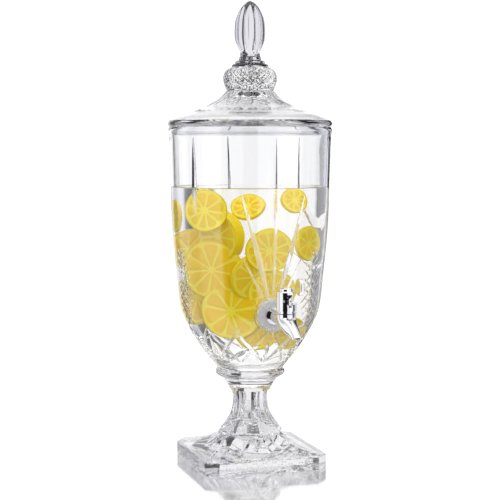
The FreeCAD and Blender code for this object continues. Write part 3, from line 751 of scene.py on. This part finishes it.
def chrome_material():
    material, nodes, links, shader = new_material("bright_chrome")
    shader.inputs["Metallic"].default_value = 1.0
    tone = noise(nodes, links, 120, 4)
    links.new(blend_colors(nodes, links, tone, (0.80, 0.80, 0.82), (0.88, 0.88, 0.89)), shader.inputs["Base Color"])
    wear = remap(nodes, links, noise(nodes, links, 900, 6), 0.35, 0.8, 0.02, 0.10)
    links.new(wear, shader.inputs["Roughness"])
    bump(nodes, links, shader, noise(nodes, links, 260, 3), 0.000012)
    return material


def steel_material():
    material, nodes, links, shader = new_material("plain_steel")
    shader.inputs["Metallic"].default_value = 1.0
    grain = noise(nodes, links, 500, 6, 0.6, (1, 1, 0.15))
    links.new(blend_colors(nodes, links, grain, (0.52, 0.52, 0.53), (0.72, 0.72, 0.73)), shader.inputs["Base Color"])
    links.new(remap(nodes, links, grain, 0.3, 0.7, 0.18, 0.36), shader.inputs["Roughness"])
    bump(nodes, links, shader, grain, 0.00002)
    return material


def silicone_material():
    """Pale translucent sealing washer."""
    material, nodes, links, shader = new_material("clear_silicone")
    shader.inputs["IOR"].default_value = 1.41
    shader.inputs["Transmission Weight"].default_value = 0.55
    shader.inputs["Subsurface Weight"].default_value = 0.4
    shader.inputs["Subsurface Radius"].default_value = (0.004, 0.004, 0.004)
    cloud = noise(nodes, links, 180, 4)
    links.new(blend_colors(nodes, links, cloud, (0.95, 0.94, 0.95), (0.98, 0.975, 0.98)), shader.inputs["Base Color"])
    links.new(remap(nodes, links, cloud, 0.3, 0.7, 0.22, 0.38), shader.inputs["Roughness"])
    bump(nodes, links, shader, noise(nodes, links, 500, 3), 0.00001)
    return material


def plain_material(name, dark, light, rough):
    material, nodes, links, shader = new_material(name)
    speck = noise(nodes, links, 700, 5)
    links.new(blend_colors(nodes, links, speck, dark, light), shader.inputs["Base Color"])
    links.new(remap(nodes, links, speck, 0.3, 0.7, rough - 0.08, rough + 0.08), shader.inputs["Roughness"])
    bump(nodes, links, shader, speck, 0.00004)
    return material


def rind_material():
    material, nodes, links, shader = new_material("lemon_rind")
    shader.inputs["Subsurface Weight"].default_value = 0.25
    shader.inputs["Subsurface Radius"].default_value = (0.003, 0.002, 0.0005)
    tone = noise(nodes, links, 90, 4)
    links.new(blend_colors(nodes, links, tone, (0.90, 0.68, 0.002), (0.96, 0.76, 0.006)), shader.inputs["Base Color"])
    shader.inputs["Roughness"].default_value = 0.38
    pores = nodes.new("ShaderNodeTexVoronoi")
    pores.inputs["Scale"].default_value = 900
    links.new(nodes.new("ShaderNodeTexCoord").outputs["Object"], pores.inputs["Vector"])
    bump(nodes, links, shader, pores.outputs["Distance"], 0.0002)
    return material


def flesh_material(name, pale, deep, grain):
    material, nodes, links, shader = new_material(name)
    shader.inputs["Subsurface Weight"].default_value = 0.4
    shader.inputs["Subsurface Radius"].default_value = (0.006, 0.004, 0.001)
    shader.inputs["Roughness"].default_value = 0.3
    fibre = noise(nodes, links, grain, 5, 0.6)
    links.new(blend_colors(nodes, links, fibre, deep, pale), shader.inputs["Base Color"])
    bump(nodes, links, shader, fibre, 0.0003)
    return material


# ---------------------------------------------------------------- assembly

CONTENTS = [rind_material(),
            flesh_material("lemon_pith", (0.98, 0.82, 0.09), (0.96, 0.76, 0.035), 160),
            flesh_material("lemon_pulp", (0.97, 0.715, 0.008), (0.87, 0.53, 0.003), 110)]

# the last column is the glass colour: the vessel's faint tint, and darker greys on the lid, bead, pedestal and finial
# that are painted shade
GLASS_PIECES = [
    (vessel, "vessel", "dispenser", "vessel_glass", (0.957, 0.958, 0.966)),
    (pedestal, "pedestal", "dispenser", "foot_glass", (0.79, 0.79, 0.81)),
    (lid, "lid", "lid_assembly", "lid_glass", (0.86, 0.86, 0.875)),
    (bead, "knop", "lid_assembly", "finial_glass", (0.89, 0.89, 0.90)),
    (finial, "finial", "lid_assembly", "finial_glass", (0.70, 0.695, 0.74)),
]
for make, node, body, slot, tint_and_shade in GLASS_PIECES:
    piece = make()
    wall = None
    if isinstance(piece, tuple):
        piece, wall = piece
    piece.data.materials.clear()
    piece.data.materials.append(glass_material("pressed_glass_" + node, tint_and_shade))
    if wall:
        # less clear than the wall, so the cut faces show white: a painted sparkle of many small facets
        piece.data.materials.append(glass_material("broad_cuts_painted_sparkle_" + node, tint_and_shade, (0.03, 0.09), 0.68))
        piece.data.materials.append(glass_material("fine_cuts_painted_sparkle_" + node, tint_and_shade, (0.02, 0.07), 0.86))
        mark_cuts(piece, wall)
    piece.visible_shadow = False        # so that the lamps reach what is inside
    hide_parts(node)
    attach(piece, body)

# the clear bond wets both pieces of glass, so it reaches a little into each of them
bond = lathe("clear_bond", [(0.0, 112.5), (37.8, 112.5), (37.8, 113.3), (0.0, 113.3)])
bond.data.materials.append(glass_material("clear_bond", (0.985, 0.985, 0.98)))
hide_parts("bond_disc")
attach(bond, "dispenser")

drink = water()
drink.data.materials.clear()
drink.data.materials.append(water_material())
drink.visible_shadow = False
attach(drink, "dispenser")
for index, values in enumerate(SLICES):
    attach(lemon_slice(index, CONTENTS, *values), "dispenser")

chrome = chrome_material()
steel = steel_material()
silicone = silicone_material()
dark_rubber = plain_material("dark_rubber", (0.02, 0.02, 0.022), (0.05, 0.05, 0.055), 0.55)
white_plastic = plain_material("white_nylon", (0.78, 0.78, 0.76), (0.88, 0.88, 0.86), 0.35)
FINISHES = {
    "tap_body": chrome, "tap_bonnet": chrome, "tap_cap": chrome, "tap_lever": chrome,
    "lever_pin": steel, "finial_screw": steel, "valve_stem": steel,
    "outer_washer": silicone, "inner_washer": silicone, "screw_washer": silicone,
    "lock_nut": white_plastic, "valve_seal": dark_rubber, "stem_o_ring": dark_rubber,
    "bonnet_seal": dark_rubber,
}
for node, material in FINISHES.items():
    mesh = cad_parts[node].data
    mesh.materials.clear()
    mesh.materials.append(material)

# the coil is held against the bonnet, and the rising stem closes it from below
coil = coil_spring("return_coil", "return_spring")
coil.data.materials.append(steel)
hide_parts("return_spring")
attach(coil, "dispenser")
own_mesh(coil)

# ---------------------------------------------------------------- camera, floor and light

YAW = math.radians(18.0)
PITCH = math.radians(4.69)
DISTANCE = 1.571
EYE = 0.3795
camera_data = bpy.data.cameras.new("camera")
camera_data.sensor_width = 36.0
camera_data.lens = 96.5
camera_data.clip_end = 50
camera = bpy.data.objects.new("camera", camera_data)
camera.location = (-DISTANCE * math.sin(YAW), -DISTANCE * math.cos(YAW), EYE)
camera.rotation_euler = (math.pi / 2 - PITCH, 0, -YAW)
bpy.context.scene.collection.objects.link(camera)
bpy.context.scene.camera = camera

FLOOR_RADIUS = 290
FLOOR_Z = -0.3
floor_steps = np.arange(64) * 2 * math.pi / 64
floor = mesh_object("floor", *rings([[0, 0, FLOOR_Z], circle(FLOOR_RADIUS, FLOOR_Z, floor_steps)[::-1]]))
floor_material, nodes, links, shader = new_material("pale_floor")
shader.inputs["Base Color"].default_value = (0.86, 0.86, 0.863, 1)
shader.inputs["Metallic"].default_value = 0.7
shader.inputs["Roughness"].default_value = 0.09
floor.data.materials.append(floor_material)


def panel(name, place, size, power, aim, mirrored=True):
    """Area lamp that is never seen directly, nor in mirrors and glass unless mirrored."""
    data = bpy.data.lights.new(name, "AREA")
    data.shape = "RECTANGLE"
    data.size, data.size_y = size
    data.energy = power
    light = bpy.data.objects.new(name, data)
    light.location = place
    light.rotation_euler = (Vector(aim) - Vector(place)).to_track_quat("-Z", "Y").to_euler()
    light.visible_camera = False
    light.visible_glossy = mirrored
    light.visible_transmission = mirrored
    bpy.context.scene.collection.objects.link(light)


def bearing_point(bearing, distance, height):
    """Point at a bearing in degrees from +Y, clockwise seen from above."""
    return (distance * math.sin(math.radians(bearing)), distance * math.cos(math.radians(bearing)), height)


for name, bearing, power in (("front_fill", -160, 13), ("side_fill", 60, 4)):
    panel(name, bearing_point(bearing, 1.9, 0.62), (1.0, 0.8), power, (0, 0, 0.24), mirrored=False)
panel("top_panel", (0, 0, 2.4), (1.2, 1.2), 10, (0, 0, 0))

world = bpy.data.worlds.new("studio")
bpy.context.scene.world = world
world.use_nodes = True
wn, wl = world.node_tree.nodes, world.node_tree.links
split = wn.new("ShaderNodeSeparateXYZ")
wl.new(wn.new("ShaderNodeTexCoord").outputs["Generated"], split.inputs["Vector"])
azimuth = wn.new("ShaderNodeMath")
azimuth.operation = "ARCTAN2"
wl.new(split.outputs["X"], azimuth.inputs[0])
wl.new(split.outputs["Y"], azimuth.inputs[1])
turns = remap(wn, wl, azimuth.outputs["Value"], -math.pi, math.pi, 0.0, 1.0)


COLD = 1.12         # how much bluer the grey parts of the tent are
SKY = 1.12          # brightness of the white ones


def compass(stops):
    """Brightness by bearing in degrees, from +Y, clockwise seen from above."""
    ramp = wn.new("ShaderNodeValToRGB")
    wl.new(turns, ramp.inputs["Fac"])
    elements = ramp.color_ramp.elements
    for bearing, level in stops[1:-1]:
        elements.new((bearing + 180) / 360).color = (level, level, min(1, level * COLD), 1)
    for element, (bearing, level) in ((elements[0], stops[0]), (elements[-1], stops[-1])):
        element.color = (level, level, level, 1)
    return ramp.outputs["Color"]


def scaled(color, factor):
    """Colour times a number or a socket."""
    node = wn.new("ShaderNodeVectorMath")
    node.operation = "SCALE"
    wl.new(color, node.inputs[0])
    if isinstance(factor, (int, float)):
        node.inputs["Scale"].default_value = factor
    else:
        wl.new(factor, node.inputs["Scale"])
    return node.outputs["Vector"]


def added(first, second):
    node = wn.new("ShaderNodeVectorMath")
    node.operation = "ADD"
    wl.new(first, node.inputs[0])
    wl.new(second, node.inputs[1])
    return node.outputs["Vector"]


# a bright tent with black and grey flags round the sides, and a bright ceiling
tent = compass([(-180, 0.85), (-174, 0.85), (-172, 0.01), (-121, 0.01), (-117, 1.0), (-79, 1.0),
                (-77, 0.55), (-59, 0.55), (-57, 1.0), (-33, 1.0), (-30, 0.12), (-15.5, 0.12),
                (-12.5, 1.0), (29.4, 1.0), (31.2, 0.05), (48.5, 0.05), (51, 0.75), (80, 0.75),
                (84, 0.12), (117, 0.12), (120, 1.0), (151, 1.0), (160, 0.85), (180, 0.85)])
height = split.outputs["Z"]
belt = remap(wn, wl, height, 0.50, 0.72, 1.0, 0.0)
ceiling = remap(wn, wl, height, 0.50, 0.88, 0.0, 1.4)
white = wn.new("ShaderNodeRGB")
white.outputs[0].default_value = (1, 1, 1, 1)
glow = added(scaled(scaled(tent, SKY), belt), scaled(white.outputs[0], ceiling))
wl.new(glow, wn["Background"].inputs["Color"])

scene = bpy.context.scene
scene.view_settings.view_transform = "Standard"
scene.cycles.max_bounces = 32
scene.cycles.transmission_bounces = 28
scene.cycles.glossy_bounces = 12
scene.cycles.diffuse_bounces = 4
scene.cycles.use_denoising = True
